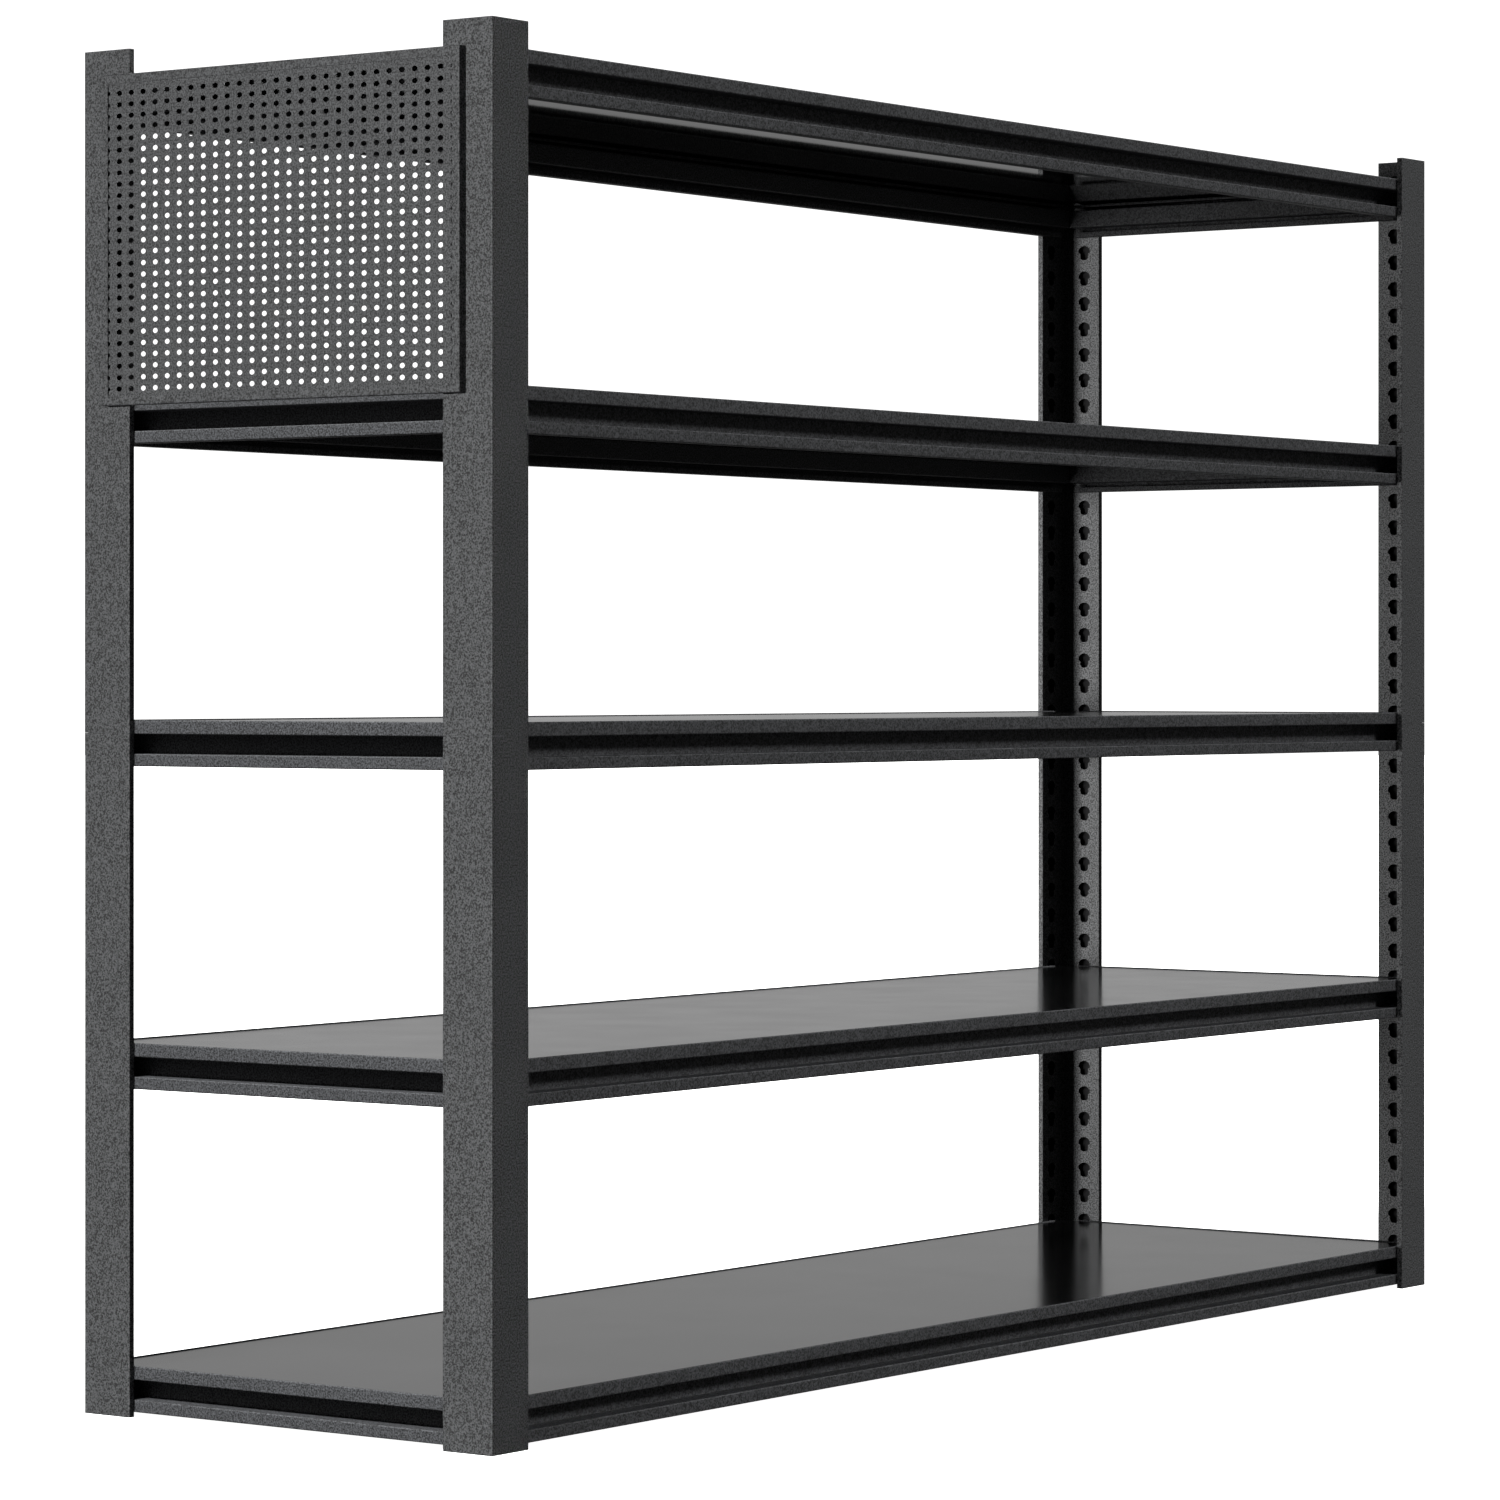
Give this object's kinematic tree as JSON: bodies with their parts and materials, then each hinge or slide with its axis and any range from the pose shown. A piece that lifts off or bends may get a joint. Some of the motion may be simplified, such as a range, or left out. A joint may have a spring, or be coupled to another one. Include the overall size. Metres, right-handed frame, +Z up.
{
  "type": "gondola shelving unit",
  "caption": "Boltless shelving unit: angle uprights with slotted inner walls, grooved beams hooked on by rivets, plain decks and a perforated side panel.",
  "frame": {"origin": "on the floor at the middle of the whole unit's footprint, side panel included; the uprights are symmetrical about X = 0.00675 m", "axes": "+X along the long side to the right, -Y to the front, +Z up"},
  "size_m": [2.4036, 0.69, 1.8],
  "materials": {
    "post_coat": "fine textured powder coat, charcoal",
    "beam_coat": "fine textured powder coat, charcoal",
    "panel_coat": "fine textured powder coat, charcoal",
    "deck_laminate": "black laminate on board, satin",
    "zinc": "galvanised"
  },
  "bodies": {
    "uprights": {"post_front_left_lower": "post_coat", "post_front_left_upper": "post_coat", "post_front_right_lower": "post_coat", "post_front_right_upper": "post_coat", "post_rear_left_lower": "post_coat", "post_rear_left_upper": "post_coat", "post_rear_right_lower": "post_coat", "post_rear_right_upper": "post_coat", "splice_front_left": "zinc", "splice_front_right": "zinc", "splice_rear_left": "zinc", "splice_rear_right": "zinc"},
    "level_1": {"beam_front_1": "beam_coat", "beam_rear_1": "beam_coat", "beam_left_1": "beam_coat", "beam_right_1": "beam_coat"},
    "deck_1": {"deck_1": "deck_laminate"},
    "level_2": {"beam_front_2": "beam_coat", "beam_rear_2": "beam_coat", "beam_left_2": "beam_coat", "beam_right_2": "beam_coat"},
    "deck_2": {"deck_2": "deck_laminate"},
    "level_3": {"beam_front_3": "beam_coat", "beam_rear_3": "beam_coat", "beam_left_3": "beam_coat", "beam_right_3": "beam_coat"},
    "deck_3": {"deck_3": "deck_laminate"},
    "level_4": {"beam_front_4": "beam_coat", "beam_rear_4": "beam_coat", "beam_left_4": "beam_coat", "beam_right_4": "beam_coat"},
    "deck_4": {"deck_4": "deck_laminate"},
    "level_5": {"beam_front_5": "beam_coat", "beam_rear_5": "beam_coat", "beam_left_5": "beam_coat", "beam_right_5": "beam_coat"},
    "deck_5": {"deck_5": "deck_laminate"},
    "side_panel": {"panel_frame": "panel_coat", "panel_sheet": "panel_coat", "panel_hook_front": "panel_coat", "panel_hook_rear": "panel_coat"}
  },
  "joints": [
    {"name": "level_1_unhook", "type": "slide", "parent": "uprights", "child": "level_1", "axis": [0, 0, 1], "range_m": [0, 0.008]},
    {"name": "level_2_unhook", "type": "slide", "parent": "uprights", "child": "level_2", "axis": [0, 0, 1], "range_m": [0, 0.008]},
    {"name": "level_3_unhook", "type": "slide", "parent": "uprights", "child": "level_3", "axis": [0, 0, 1], "range_m": [0, 0.008]},
    {"name": "level_4_unhook", "type": "slide", "parent": "uprights", "child": "level_4", "axis": [0, 0, 1], "range_m": [0, 0.008]},
    {"name": "level_5_unhook", "type": "slide", "parent": "uprights", "child": "level_5", "axis": [0, 0, 1], "range_m": [0, 0.008]},
    {"name": "deck_1_lift", "type": "slide", "parent": "level_1", "child": "deck_1", "axis": [0, 0, 1], "range_m": [0, 0.3]},
    {"name": "deck_2_lift", "type": "slide", "parent": "level_2", "child": "deck_2", "axis": [0, 0, 1], "range_m": [0, 0.3]},
    {"name": "deck_3_lift", "type": "slide", "parent": "level_3", "child": "deck_3", "axis": [0, 0, 1], "range_m": [0, 0.3]},
    {"name": "deck_4_lift", "type": "slide", "parent": "level_4", "child": "deck_4", "axis": [0, 0, 1], "range_m": [0, 0.3]},
    {"name": "deck_5_lift", "type": "slide", "parent": "level_5", "child": "deck_5", "axis": [0, 0, 1], "range_m": [0, 0.3]},
    {"name": "side_panel_lift", "type": "slide", "parent": "level_5", "child": "side_panel", "axis": [0, 0, 1], "range_m": [0, 0.03]}
  ]
}
